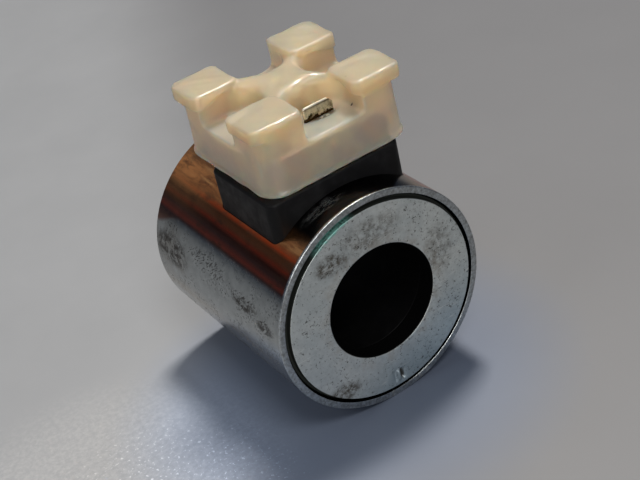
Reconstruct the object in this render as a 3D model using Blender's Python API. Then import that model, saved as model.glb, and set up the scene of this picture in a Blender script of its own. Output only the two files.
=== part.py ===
"""Solenoid coil for a wet-armature valve: steel can, pole rings, winding, plug connector and pull-off cap.

Frame: the coil lies on its round side. Z is up, through the connector. The bore runs along Y, and the face
at -Y is the front. The origin is on the surface that the coil lies on, below the middle of its length.
"""

import math

import bmesh
import bpy

MM = 0.001
CLEAR = 0.3 * MM  # gap left between pieces that touch on the real coil

# Steel can and pole rings
SIDES = 48
SHELL_RADIUS = 22.5 * MM
SHELL_WALL = 1.4 * MM
SHELL_HALF_LENGTH = 23.55 * MM
EDGE = 0.3 * MM
BORE_RADIUS = 11.6 * MM
PLATE_THICKNESS = 4.0 * MM
PLATE_PROUD = 0.25 * MM
PLATE_RADIUS = 20.3 * MM
PLATE_STEP = 1.2 * MM
NIB_RADIUS = 18.0 * MM
NIB_LENGTH = 3.0 * MM
NIB_DEPTH = 0.4 * MM

# Bobbin and winding
BOBBIN_BORE = 11.75 * MM
BOBBIN_WALL = 1.25 * MM
FLANGE_RADIUS = 19.4 * MM
FLANGE_THICKNESS = 1.5 * MM
WINDING_RADIUS = 18.0 * MM
TAPE_THICKNESS = 0.4 * MM

# Connector pedestal
PEDESTAL_HALF_WIDTH = 14.5 * MM
PEDESTAL_FRONT = -16.93 * MM
PEDESTAL_REAR = 4.42 * MM
PEDESTAL_TOP = 25.45 * MM
PEDESTAL_WALL = 2.2 * MM
PEDESTAL_FLOOR = 21.5 * MM
PEDESTAL_CORNER = 2.0 * MM

# Plug connector, after the 18 mm pattern of industrial valve plugs
CONNECTOR_X = 1.65 * MM
CONNECTOR_Y = -1.1 * MM
TERMINAL_HALF = 13.85 * MM
TERMINAL_BOTTOM = 25.75 * MM
TERMINAL_TOP = 28.0 * MM
BLADE_PITCH = 9.0 * MM
BLADE_WIDTH = 6.3 * MM
BLADE_THICKNESS = 0.8 * MM
BLADE_TOP = 32.5 * MM
EARTH_BLADE_TOP = 36.35 * MM
EARTH_BLADE_SHIFT = 1.2 * MM
TAIL_WIDTH = 3.0 * MM
TAIL_BOTTOM = 22.6 * MM
BOSS_RADIUS = 4.5 * MM
BOSS_TOP = 30.0 * MM
NUT_RADIUS = 2.5 * MM
NUT_BORE = 1.25 * MM
LEAD_Y = -6.0 * MM
LEAD_OFFSET = 6.65 * MM
LEAD_RADIUS = 0.35 * MM
SLEEVE_WALL = 0.25 * MM
JOINT_RADIUS = 0.65 * MM
JOINT_Z = 23.2 * MM

# Protective cap
CAP_BOTTOM = 25.75 * MM
CAP_FOOT_HALF = 15.75 * MM
CAP_HALF = 15.5 * MM
CAP_WAIST_HALF = 15.0 * MM
CAP_CORNER = 4.6 * MM
CAP_WALL = 1.2 * MM
FOOT_HEIGHT = 0.8 * MM
NOTCH_FLOOR = 34.1 * MM
NOTCH_RADIUS = 6.6 * MM
NOTCH_CENTRE = 11.8 * MM
HUB_TOP = 38.6 * MM
PAD_UNDERSIDE = 37.65 * MM
CAP_TOP = 39.9 * MM
PAD_INNER = 6.0 * MM

AXIS_HEIGHT = SHELL_RADIUS * math.cos(math.pi / SIDES)
PLATE_FACE = SHELL_HALF_LENGTH + PLATE_PROUD
PLATE_INNER_FACE = PLATE_FACE - PLATE_THICKNESS
BOBBIN_HALF_LENGTH = PLATE_INNER_FACE - CLEAR
WINDING_HALF_LENGTH = BOBBIN_HALF_LENGTH - FLANGE_THICKNESS - CLEAR
SHELL_INNER = SHELL_RADIUS - SHELL_WALL
TAPE_INNER = WINDING_RADIUS + CLEAR
TAPE_OUTER = TAPE_INNER + TAPE_THICKNESS
POTTING_INNER = TAPE_OUTER + CLEAR
EARTH_X = CONNECTOR_X + EARTH_BLADE_SHIFT
EARTH_Y = CONNECTOR_Y - BLADE_PITCH

ZINC = ("zinc_plate", (0.55, 0.57, 0.58), 0.28, 1.0)
POLE_ZINC = ("pole_zinc", (0.50, 0.54, 0.54), 0.42, 1.0)
BLACK_PLASTIC = ("black_plastic", (0.012, 0.012, 0.013), 0.45, 0.0)
CAP_PLASTIC = ("cap_plastic", (0.66, 0.55, 0.38), 0.38, 0.0)
COPPER = ("copper", (0.62, 0.25, 0.11), 0.35, 1.0)
TINNED_BRASS = ("tinned_brass", (0.52, 0.48, 0.38), 0.35, 1.0)
BRASS = ("brass", (0.62, 0.46, 0.18), 0.30, 1.0)
SOLDER = ("solder", (0.60, 0.60, 0.62), 0.35, 1.0)
TAPE = ("tape", (0.55, 0.42, 0.10), 0.40, 0.0)
RESIN = ("resin", (0.05, 0.04, 0.03), 0.35, 0.0)
SLEEVE = ("sleeve", (0.55, 0.08, 0.05), 0.60, 0.0)


def clear_scene():
    for obj in list(bpy.data.objects):
        bpy.data.objects.remove(obj)


def material(finish):
    name, colour, roughness, metallic = finish
    found = bpy.data.materials.get(name)
    if found:
        return found
    made = bpy.data.materials.new(name)
    made.use_nodes = True
    shader = made.node_tree.nodes["Principled BSDF"]
    shader.inputs["Base Color"].default_value = (*colour, 1.0)
    shader.inputs["Roughness"].default_value = roughness
    shader.inputs["Metallic"].default_value = metallic
    return made


def solid(name, mesh_data, finish=None):
    """An object made from a bmesh; one with no finish is a hidden cutter or tool."""
    bmesh.ops.recalc_face_normals(mesh_data, faces=mesh_data.faces)
    mesh = bpy.data.meshes.new(name)
    mesh_data.to_mesh(mesh)
    mesh_data.free()
    obj = bpy.data.objects.new(name, mesh)
    bpy.context.scene.collection.objects.link(obj)
    if finish:
        mesh.materials.append(material(finish))
        mesh.shade_smooth()
        mesh.set_sharp_from_angle(angle=math.radians(35))
    else:
        obj.hide_render = True
        obj.display_type = "WIRE"
    return obj


def combine(obj, tool, operation):
    modifier = obj.modifiers.new(tool.name, "BOOLEAN")
    modifier.operation = operation
    modifier.object = tool
    modifier.solver = "EXACT"


def cut(obj, *cutters):
    for cutter in cutters:
        combine(obj, cutter, "DIFFERENCE")


def join(obj, *tools):
    for tool in tools:
        combine(obj, tool, "UNION")


def loft(rings):
    """A closed body through rings of equal point counts, capped at both ends."""
    mesh_data = bmesh.new()
    loops = [[mesh_data.verts.new(point) for point in ring] for ring in rings]
    for lower, upper in zip(loops, loops[1:]):
        for i, corner in enumerate(lower):
            following = (i + 1) % len(lower)
            mesh_data.faces.new((corner, lower[following], upper[following], upper[i]))
    mesh_data.faces.new(loops[0])
    mesh_data.faces.new(loops[-1])
    return mesh_data


def turned(name, profile, finish, sides=SIDES):
    """A ring turned about the bore axis from a closed (radius, y) profile, with a flat facet at its bottom."""
    mesh_data = bmesh.new()
    loops = []
    for side in range(sides):
        angle = (side + 0.5) * 2 * math.pi / sides
        loops.append(
            [
                mesh_data.verts.new((radius * math.sin(angle), y, AXIS_HEIGHT - radius * math.cos(angle)))
                for radius, y in profile
            ]
        )
    for side, loop in enumerate(loops):
        beside = loops[(side + 1) % sides]
        for i, corner in enumerate(loop):
            following = (i + 1) % len(loop)
            mesh_data.faces.new((corner, loop[following], beside[following], beside[i]))
    return solid(name, mesh_data, finish)


def round_outline(centre, half, corner, steps=5):
    """Points of a rectangle with rounded corners: centre (x, y), half sizes (x, y), corner radius."""
    points = []
    for quarter, (sx, sy) in enumerate(((1, 1), (-1, 1), (-1, -1), (1, -1))):
        for step in range(steps + 1):
            angle = math.radians(90 * (quarter + step / steps))
            x = centre[0] + sx * (half[0] - corner) + corner * math.cos(angle)
            y = centre[1] + sy * (half[1] - corner) + corner * math.sin(angle)
            points.append((x, y))
    return points


def block(name, x, y, z, finish=None, corner=0.1 * MM, steps=1):
    """A box given by its (low, high) along X, Y and Z, with upright edges rounded. Z counts from the axis."""
    centre = ((x[0] + x[1]) / 2, (y[0] + y[1]) / 2)
    half = ((x[1] - x[0]) / 2, (y[1] - y[0]) / 2)
    outline = round_outline(centre, half, corner, steps)
    rings = [[(px, py, AXIS_HEIGHT + height) for px, py in outline] for height in z]
    return solid(name, loft(rings), finish)


def post(name, centre, radius, z, finish=None, sides=24):
    """An upright round bar. Z counts from the bore axis."""
    rings = []
    for height in z:
        ring = []
        for side in range(sides):
            angle = side * 2 * math.pi / sides
            x = centre[0] + radius * math.cos(angle)
            y = centre[1] + radius * math.sin(angle)
            ring.append((x, y, AXIS_HEIGHT + height))
        rings.append(ring)
    return solid(name, loft(rings), finish)


def window_cutter(name, margin, low, high, front=PEDESTAL_FRONT):
    """The space that the pedestal takes through the can, grown by a margin."""
    width = PEDESTAL_HALF_WIDTH + margin
    return block(
        name,
        (-width, width),
        (front - margin, PEDESTAL_REAR + margin),
        (low, high),
        corner=PEDESTAL_CORNER + margin,
        steps=4,
    )


def make_shell():
    profile = [
        (SHELL_INNER, -SHELL_HALF_LENGTH),
        (SHELL_RADIUS - EDGE, -SHELL_HALF_LENGTH),
        (SHELL_RADIUS, -SHELL_HALF_LENGTH + EDGE),
        (SHELL_RADIUS, SHELL_HALF_LENGTH - EDGE),
        (SHELL_RADIUS - EDGE, SHELL_HALF_LENGTH),
        (SHELL_INNER, SHELL_HALF_LENGTH),
    ]
    shell = turned("steel_shell", profile, ZINC)
    cut(shell, window_cutter("shell_window", CLEAR, 10 * MM, 26 * MM))


def make_end_plate(name, side):
    """A pole ring. Its outer face has a smaller radius, which leaves a groove inside the can's rim."""
    body_radius = SHELL_INNER - CLEAR
    profile = [
        (BORE_RADIUS + EDGE, side * PLATE_FACE),
        (PLATE_RADIUS - EDGE, side * PLATE_FACE),
        (PLATE_RADIUS, side * (PLATE_FACE - EDGE)),
        (PLATE_RADIUS, side * (PLATE_FACE - PLATE_STEP)),
        (body_radius, side * (PLATE_FACE - PLATE_STEP)),
        (body_radius, side * PLATE_INNER_FACE),
        (BORE_RADIUS, side * PLATE_INNER_FACE),
        (BORE_RADIUS, side * (PLATE_FACE - EDGE)),
    ]
    return turned(name, profile, POLE_ZINC)


def make_end_plates():
    front = make_end_plate("front_end_plate", -1)
    make_end_plate("rear_end_plate", 1)
    # Two struck grooves leave the locking nib standing between them, at the bottom of the front face.
    low = -NIB_RADIUS - NIB_LENGTH / 2
    for number, centre in enumerate((-0.55 * MM, 0.55 * MM)):
        groove = block(
            f"nib_groove_{number}",
            (centre - 0.3 * MM, centre + 0.3 * MM),
            (-PLATE_FACE - 1 * MM, -PLATE_FACE + NIB_DEPTH),
            (low, low + NIB_LENGTH),
        )
        cut(front, groove)


def make_bobbin():
    tube = BOBBIN_BORE + BOBBIN_WALL
    end = BOBBIN_HALF_LENGTH
    inside = end - FLANGE_THICKNESS
    profile = [
        (BOBBIN_BORE, -end),
        (FLANGE_RADIUS, -end),
        (FLANGE_RADIUS, -inside),
        (tube, -inside),
        (tube, inside),
        (FLANGE_RADIUS, inside),
        (FLANGE_RADIUS, end),
        (BOBBIN_BORE, end),
    ]
    turned("bobbin", profile, BLACK_PLASTIC)


def plain_ring(name, inner, outer, half_length, finish):
    profile = [(inner, -half_length), (outer, -half_length), (outer, half_length), (inner, half_length)]
    return turned(name, profile, finish)


def make_winding():
    plain_ring(
        "copper_winding", BOBBIN_BORE + BOBBIN_WALL + CLEAR, WINDING_RADIUS, WINDING_HALF_LENGTH, COPPER
    )
    tape = plain_ring("winding_tape", TAPE_INNER, TAPE_OUTER, WINDING_HALF_LENGTH, TAPE)
    for name, side in (("start", -1), ("finish", 1)):
        x = CONNECTOR_X + side * LEAD_OFFSET
        opening = 1.3 * MM
        slit = block(
            f"tape_slit_{name}",
            (x - opening, x + opening),
            (LEAD_Y - opening, LEAD_Y + opening),
            (12 * MM, 21 * MM),
        )
        cut(tape, slit)
    potting = plain_ring("potting_ring", POTTING_INNER, SHELL_INNER - CLEAR, WINDING_HALF_LENGTH, RESIN)
    cut(potting, window_cutter("potting_window", CLEAR, 8 * MM, 26 * MM, front=-20 * MM))


def make_pedestal():
    """The connector block: it stands on the tape, passes the window and carries the terminal plate."""
    pedestal = block(
        "connector_pedestal",
        (-PEDESTAL_HALF_WIDTH, PEDESTAL_HALF_WIDTH),
        (PEDESTAL_FRONT, PEDESTAL_REAR),
        (11 * MM, PEDESTAL_TOP),
        BLACK_PLASTIC,
        corner=PEDESTAL_CORNER,
        steps=4,
    )
    saddle_profile = [(5 * MM, -30 * MM), (POTTING_INNER, -30 * MM), (POTTING_INNER, 30 * MM), (5 * MM, 30 * MM)]
    saddle = turned("pedestal_saddle", saddle_profile, None)
    inner = PEDESTAL_HALF_WIDTH - PEDESTAL_WALL
    cavity = block(
        "pedestal_cavity",
        (-inner, inner),
        (PEDESTAL_FRONT + PEDESTAL_WALL, PEDESTAL_REAR - PEDESTAL_WALL),
        (PEDESTAL_FLOOR, 30 * MM),
        corner=1 * MM,
        steps=2,
    )
    cut(pedestal, saddle, cavity)
    for name, side in (("start", -1), ("finish", 1)):
        x = CONNECTOR_X + side * LEAD_OFFSET
        radius = LEAD_RADIUS + SLEEVE_WALL + 2 * CLEAR
        cut(pedestal, post(f"lead_hole_{name}", (x, LEAD_Y), radius, (14 * MM, 23 * MM), sides=12))
    half = TAIL_WIDTH / 2 + CLEAR
    channel = block(
        "strap_channel",
        (EARTH_X - half, EARTH_X + half),
        (PEDESTAL_FRONT - 1 * MM, EARTH_Y - 0.4 * MM),
        (17 * MM, 20.5 * MM),
    )
    shaft = block(
        "strap_shaft",
        (EARTH_X - half, EARTH_X + half),
        (EARTH_Y - 1.6 * MM, EARTH_Y - 0.4 * MM),
        (17 * MM, 22 * MM),
    )
    cut(pedestal, channel, shaft)


def make_terminal_plate():
    plate = block(
        "terminal_plate",
        (CONNECTOR_X - TERMINAL_HALF, CONNECTOR_X + TERMINAL_HALF),
        (CONNECTOR_Y - TERMINAL_HALF, CONNECTOR_Y + TERMINAL_HALF),
        (TERMINAL_BOTTOM, TERMINAL_TOP),
        BLACK_PLASTIC,
        corner=3.2 * MM,
        steps=5,
    )
    centre = (CONNECTOR_X, CONNECTOR_Y)
    boss = post("terminal_boss", centre, BOSS_RADIUS, (TERMINAL_BOTTOM + 0.5 * MM, BOSS_TOP))
    join(plate, boss)
    seat = post("nut_seat", centre, NUT_RADIUS + CLEAR, (TERMINAL_BOTTOM + 0.8 * MM, BOSS_TOP + 1 * MM))
    cut(plate, seat)
    for name, x, y, width, depth in blade_places():
        half_width = width / 2 + CLEAR
        half_depth = depth / 2 + CLEAR
        slot = block(
            f"slot_{name}",
            (x - half_width, x + half_width),
            (y - half_depth, y + half_depth),
            (TERMINAL_BOTTOM - 1 * MM, TERMINAL_TOP + 1 * MM),
        )
        cut(plate, slot)
    nut = post("centre_nut", centre, NUT_RADIUS, (TERMINAL_BOTTOM + 1.1 * MM, BOSS_TOP - 0.2 * MM), BRASS)
    cut(nut, post("nut_thread", centre, NUT_BORE, (TERMINAL_BOTTOM, BOSS_TOP + 1 * MM), sides=16))


def blade_places():
    """Name, centre x and y, and size along X and along Y of each blade."""
    return (
        ("blade_left", CONNECTOR_X - BLADE_PITCH, CONNECTOR_Y, BLADE_THICKNESS, BLADE_WIDTH),
        ("blade_right", CONNECTOR_X + BLADE_PITCH, CONNECTOR_Y, BLADE_THICKNESS, BLADE_WIDTH),
        ("earth_blade", EARTH_X, EARTH_Y, BLADE_WIDTH, BLADE_THICKNESS),
    )


def blade_outline(top):
    """Half outline of a blade as (half width, height), from its tail up to its chamfered tip."""
    shoulder = TERMINAL_BOTTOM + 0.5 * MM
    chamfer = 1.0 * MM
    return (
        (TAIL_WIDTH / 2, TAIL_BOTTOM),
        (TAIL_WIDTH / 2, shoulder),
        (BLADE_WIDTH / 2, shoulder),
        (BLADE_WIDTH / 2, top - chamfer),
        (BLADE_WIDTH / 2 - chamfer, top),
    )


def make_blade(name, x, y, width, depth):
    top = EARTH_BLADE_TOP if name == "earth_blade" else BLADE_TOP
    right = blade_outline(top)
    outline = list(right) + [(-across, height) for across, height in reversed(right)]
    rings = []
    for face in (-BLADE_THICKNESS / 2, BLADE_THICKNESS / 2):
        ring = []
        for across, height in outline:
            if width > depth:
                ring.append((x + across, y + face, AXIS_HEIGHT + height))
            else:
                ring.append((x + face, y + across, AXIS_HEIGHT + height))
        rings.append(ring)
    solid(name, loft(rings), TINNED_BRASS)


def make_lead(name, side):
    """The insulated end of the winding wire, its sleeve, and its solder joint on the blade's tail."""
    x = CONNECTOR_X + side * LEAD_OFFSET
    start = math.sqrt((WINDING_RADIUS + CLEAR) ** 2 - x * x) + 0.2 * MM
    blade_face = CONNECTOR_X + side * (BLADE_PITCH - BLADE_THICKNESS / 2)
    joint_x = blade_face - side * (JOINT_RADIUS + CLEAR)
    joint_y = CONNECTOR_Y
    route = (
        (x, LEAD_Y, start),
        (x, LEAD_Y, JOINT_Z - 0.9 * MM),
        (x, LEAD_Y + 0.4 * MM, JOINT_Z - 0.25 * MM),
        (x, LEAD_Y + 1.1 * MM, JOINT_Z),
        (joint_x, joint_y - JOINT_RADIUS - CLEAR, JOINT_Z),
    )
    curve = bpy.data.curves.new(f"lead_{name}", "CURVE")
    curve.dimensions = "3D"
    curve.bevel_depth = LEAD_RADIUS
    curve.bevel_resolution = 2
    curve.use_fill_caps = True
    spline = curve.splines.new("POLY")
    spline.points.add(len(route) - 1)
    for point, (px, py, height) in zip(spline.points, route):
        point.co = (px, py, AXIS_HEIGHT + height, 1.0)
    curve.materials.append(material(COPPER))
    lead = bpy.data.objects.new(f"lead_{name}", curve)
    bpy.context.scene.collection.objects.link(lead)

    bore = LEAD_RADIUS + CLEAR
    sleeve_low = start + 0.4 * MM
    sleeve_high = JOINT_Z - 1.4 * MM
    sleeve = post(f"sleeve_{name}", (x, LEAD_Y), bore + SLEEVE_WALL, (sleeve_low, sleeve_high), SLEEVE, 12)
    cut(sleeve, post(f"sleeve_bore_{name}", (x, LEAD_Y), bore, (start - 1 * MM, JOINT_Z), sides=12))

    joint = bmesh.new()
    bmesh.ops.create_icosphere(joint, subdivisions=2, radius=JOINT_RADIUS)
    bmesh.ops.translate(joint, verts=joint.verts, vec=(joint_x, joint_y, AXIS_HEIGHT + JOINT_Z))
    solid(f"joint_{name}", joint, SOLDER)


def make_earth_strap():
    """An L of strip from the earth blade's tail, down the shaft and forward to the front pole ring."""
    half = TAIL_WIDTH / 2
    thickness = 0.4 * MM
    face = EARTH_Y - BLADE_THICKNESS / 2 - CLEAR
    low = 19.8 * MM
    top = 24.0 * MM
    end = -PLATE_INNER_FACE + CLEAR
    outline = (
        (face, top),
        (face, low),
        (end, low),
        (end, low + thickness),
        (face - thickness, low + thickness),
        (face - thickness, top),
    )
    rings = []
    for x in (EARTH_X - half, EARTH_X + half):
        rings.append([(x, y, AXIS_HEIGHT + height) for y, height in outline])
    solid("earth_strap", loft(rings), BRASS)


def cap_ring(half, corner, height):
    outline = round_outline((CONNECTOR_X, CONNECTOR_Y), (half, half), corner)
    return [(x, y, AXIS_HEIGHT + height) for x, y in outline]


def cap_square(name, quadrant, inner, outer, z, corner):
    """A rounded square in one corner of the cap, from inner to outer distance off its middle."""
    sides = []
    for middle, sign in zip((CONNECTOR_X, CONNECTOR_Y), quadrant):
        ends = sorted((middle + sign * inner, middle + sign * outer))
        sides.append(tuple(ends))
    return block(name, sides[0], sides[1], z, corner=corner, steps=4)


def make_cap():
    """A soft moulded cap: tapered skirt, four hollow corner towers with overhanging pads, four side notches."""
    cap = solid(
        "protective_cap",
        loft(
            [
                cap_ring(CAP_FOOT_HALF, CAP_CORNER, CAP_BOTTOM),
                cap_ring(CAP_FOOT_HALF, CAP_CORNER, CAP_BOTTOM + FOOT_HEIGHT),
                cap_ring(CAP_HALF, CAP_CORNER, CAP_BOTTOM + FOOT_HEIGHT + 0.3 * MM),
                cap_ring(CAP_WAIST_HALF, CAP_CORNER, HUB_TOP),
            ]
        ),
        CAP_PLASTIC,
    )
    directions = ((0, -1, "front"), (0, 1, "rear"), (-1, 0, "left"), (1, 0, "right"))
    for dx, dy, name in directions:
        middle = (CONNECTOR_X + dx * NOTCH_CENTRE, CONNECTOR_Y + dy * NOTCH_CENTRE)
        reach = (middle[0] + dx * 8 * MM, middle[1] + dy * 8 * MM)
        x = (min(middle[0], reach[0]), max(middle[0], reach[0]))
        y = (min(middle[1], reach[1]), max(middle[1], reach[1]))
        if dx:
            y = (y[0] - NOTCH_RADIUS, y[1] + NOTCH_RADIUS)
        else:
            x = (x[0] - NOTCH_RADIUS, x[1] + NOTCH_RADIUS)
        heights = (NOTCH_FLOOR, HUB_TOP + 5 * MM)
        cut(cap, post(f"notch_round_{name}", middle, NOTCH_RADIUS, heights, sides=32))
        cut(cap, block(f"notch_way_{name}", x, y, heights))
    inner = CAP_WAIST_HALF - CAP_WALL
    pocket_inner = NOTCH_RADIUS + CAP_WALL
    for number, quadrant in enumerate(((-1, -1), (1, -1), (1, 1), (-1, 1))):
        pad = cap_square(
            f"pad_{number}", quadrant, PAD_INNER, CAP_HALF, (PAD_UNDERSIDE, CAP_TOP), 2.0 * MM
        )
        join(cap, pad)
        heights = (NOTCH_FLOOR - 2 * MM, CAP_TOP - 1.4 * MM)
        cut(cap, cap_square(f"pocket_{number}", quadrant, pocket_inner, inner, heights, 1.5 * MM))
    skirt_inner = CAP_HALF - CAP_WALL - 0.1 * MM
    cavity = block(
        "cap_cavity",
        (CONNECTOR_X - skirt_inner, CONNECTOR_X + skirt_inner),
        (CONNECTOR_Y - skirt_inner, CONNECTOR_Y + skirt_inner),
        (CAP_BOTTOM - 2 * MM, NOTCH_FLOOR - CAP_WALL),
        corner=CAP_CORNER - CAP_WALL,
        steps=5,
    )
    centre = (CONNECTOR_X, CONNECTOR_Y)
    hub_radius = NOTCH_CENTRE - NOTCH_RADIUS - CAP_WALL
    hub_hollow = post("hub_hollow", centre, hub_radius, (CAP_BOTTOM, HUB_TOP - CAP_WALL))
    half_width = BLADE_WIDTH / 2 + CLEAR
    half_depth = BLADE_THICKNESS / 2 + CLEAR
    slit = block(
        "earth_slit",
        (EARTH_X - half_width, EARTH_X + half_width),
        (EARTH_Y - half_depth, EARTH_Y + half_depth),
        (NOTCH_FLOOR - 4 * MM, NOTCH_FLOOR + 2 * MM),
    )
    cut(cap, cavity, hub_hollow, slit)


def main():
    clear_scene()
    make_shell()
    make_end_plates()
    make_bobbin()
    make_winding()
    make_pedestal()
    make_terminal_plate()
    for place in blade_places():
        make_blade(*place)
    make_lead("start", -1)
    make_lead("finish", 1)
    make_earth_strap()
    make_cap()


main()
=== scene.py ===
"""Looks of the solenoid coil: zinc plated can, black connector block, translucent pull-off cap."""

import math

import bmesh
import bpy
import numpy as np
from mathutils import Matrix, Vector


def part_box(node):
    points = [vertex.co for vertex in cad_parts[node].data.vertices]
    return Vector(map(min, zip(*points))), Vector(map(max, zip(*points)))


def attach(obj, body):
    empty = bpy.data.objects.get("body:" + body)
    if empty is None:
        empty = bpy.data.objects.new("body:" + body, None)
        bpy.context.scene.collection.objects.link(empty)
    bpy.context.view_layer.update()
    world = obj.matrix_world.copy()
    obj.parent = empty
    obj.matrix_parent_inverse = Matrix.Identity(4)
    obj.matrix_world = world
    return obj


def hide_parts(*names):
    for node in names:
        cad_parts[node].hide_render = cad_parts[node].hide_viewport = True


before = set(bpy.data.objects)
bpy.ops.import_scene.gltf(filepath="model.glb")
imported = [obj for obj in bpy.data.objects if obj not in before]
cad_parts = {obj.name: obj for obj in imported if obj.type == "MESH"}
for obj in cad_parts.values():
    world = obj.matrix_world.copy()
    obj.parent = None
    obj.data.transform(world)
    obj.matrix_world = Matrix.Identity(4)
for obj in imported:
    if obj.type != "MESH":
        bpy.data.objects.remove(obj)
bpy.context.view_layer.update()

MM = 0.001
COIL = "coil"
CAP = "cap"

# Sizes and places in mm. Heights inside functions count from the bore axis, unless they say otherwise.
CAN_RADIUS = 22.5
CAN_BORE = 21.1
CAN_FACETS = 48
AXIS = CAN_RADIUS * math.cos(math.pi / CAN_FACETS)  # height above the floor: the CAD can lies on a facet
HALF_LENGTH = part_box("steel_shell")[1].y / MM

PLATE_FACE = -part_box("front_end_plate")[0].y / MM
PLATE_BORE = 11.6
PLATE_EDGE = 20.3
PLATE_REACH = 20.8
PLATE_THICK = 4
GROOVE_DEPTH = 1.2

BLOCK_MIDDLE = (0.0, (4.42 - 16.93) / 2)
BLOCK_HALF = (14.5, (4.42 + 16.93) / 2)
BLOCK_CORNER = 2.0

CONNECTOR = (1.65, -1.1)  # middle of the connector face and of the cap
BLADE_PITCH = 18
BLADE_WIDE, BLADE_THIN = 3.15, 0.4  # half sizes
# Middle (x, y) and half sizes of the three spade blades.
BLADE_PLACES = (
    (CONNECTOR[0] - BLADE_PITCH / 2, CONNECTOR[1], BLADE_THIN, BLADE_WIDE),
    (CONNECTOR[0] + BLADE_PITCH / 2, CONNECTOR[1], BLADE_THIN, BLADE_WIDE),
    (2.85, -10.1, BLADE_WIDE, BLADE_THIN),
)


# --- Camera and light ----------------------------------------------------------------------------


def make_camera():
    """A long lens from the front left and above, rolled a little to one side."""
    eye = Vector((-100.2, -205.15, 174.58)) * MM
    forward = Vector((0.3735, 0.7483, -0.5483)).normalized()
    roll = math.radians(-13.695)
    back = -forward
    side = Vector((0, 0, 1)).cross(back).normalized()
    up = back.cross(side)
    right = side * math.cos(roll) + up * math.sin(roll)
    top = back.cross(right)
    matrix = Matrix((right, top, back)).transposed().to_4x4()
    matrix.translation = eye
    data = bpy.data.cameras.new("camera")
    data.lens = 77.9
    data.sensor_width = 36
    data.clip_start = 0.01
    data.clip_end = 20
    camera = bpy.data.objects.new("camera", data)
    bpy.context.scene.collection.objects.link(camera)
    camera.matrix_world = matrix
    bpy.context.scene.camera = camera


def area_light(name, place, aim, size, power, colour):
    """A soft rectangular light; its place and size are in metres."""
    data = bpy.data.lights.new(name, "AREA")
    data.shape = "RECTANGLE"
    data.size, data.size_y = size
    data.energy = power
    data.color = colour
    light = bpy.data.objects.new(name, data)
    bpy.context.scene.collection.objects.link(light)
    light.location = place
    light.rotation_euler = (Vector(aim) - Vector(place)).to_track_quat("-Z", "Y").to_euler()


def make_lights():
    aim = (0, 0, 0.02)
    area_light("key", (0.33, 0.25, 1.0), aim, (0.20, 0.20), 14.5, (1.0, 0.94, 0.86))
    area_light("second", (-0.08, -0.55, 0.95), aim, (0.40, 0.30), 4.6, (1.0, 0.965, 0.92))
    area_light("side", (-0.60, 0.10, 0.62), aim, (0.35, 0.30), 1.2, (1.0, 0.97, 0.94))
    area_light("front", (-0.28, -0.95, 0.30), aim, (0.45, 0.25), 3.6, (1.0, 0.97, 0.93))
    area_light("wall", (-0.35, 0.80, 0.50), aim, (0.50, 0.22), 0.075, (1.0, 0.88, 0.74))
    world = bpy.data.worlds.new("studio")
    world.use_nodes = True
    background = world.node_tree.nodes["Background"]
    background.inputs["Color"].default_value = (0.44, 0.54, 0.74, 1)
    background.inputs["Strength"].default_value = 0.135
    bpy.context.scene.world = world
    bpy.context.scene.view_settings.view_transform = "Standard"


# --- Materials ----------------------------------------------------------------------------------


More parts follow.
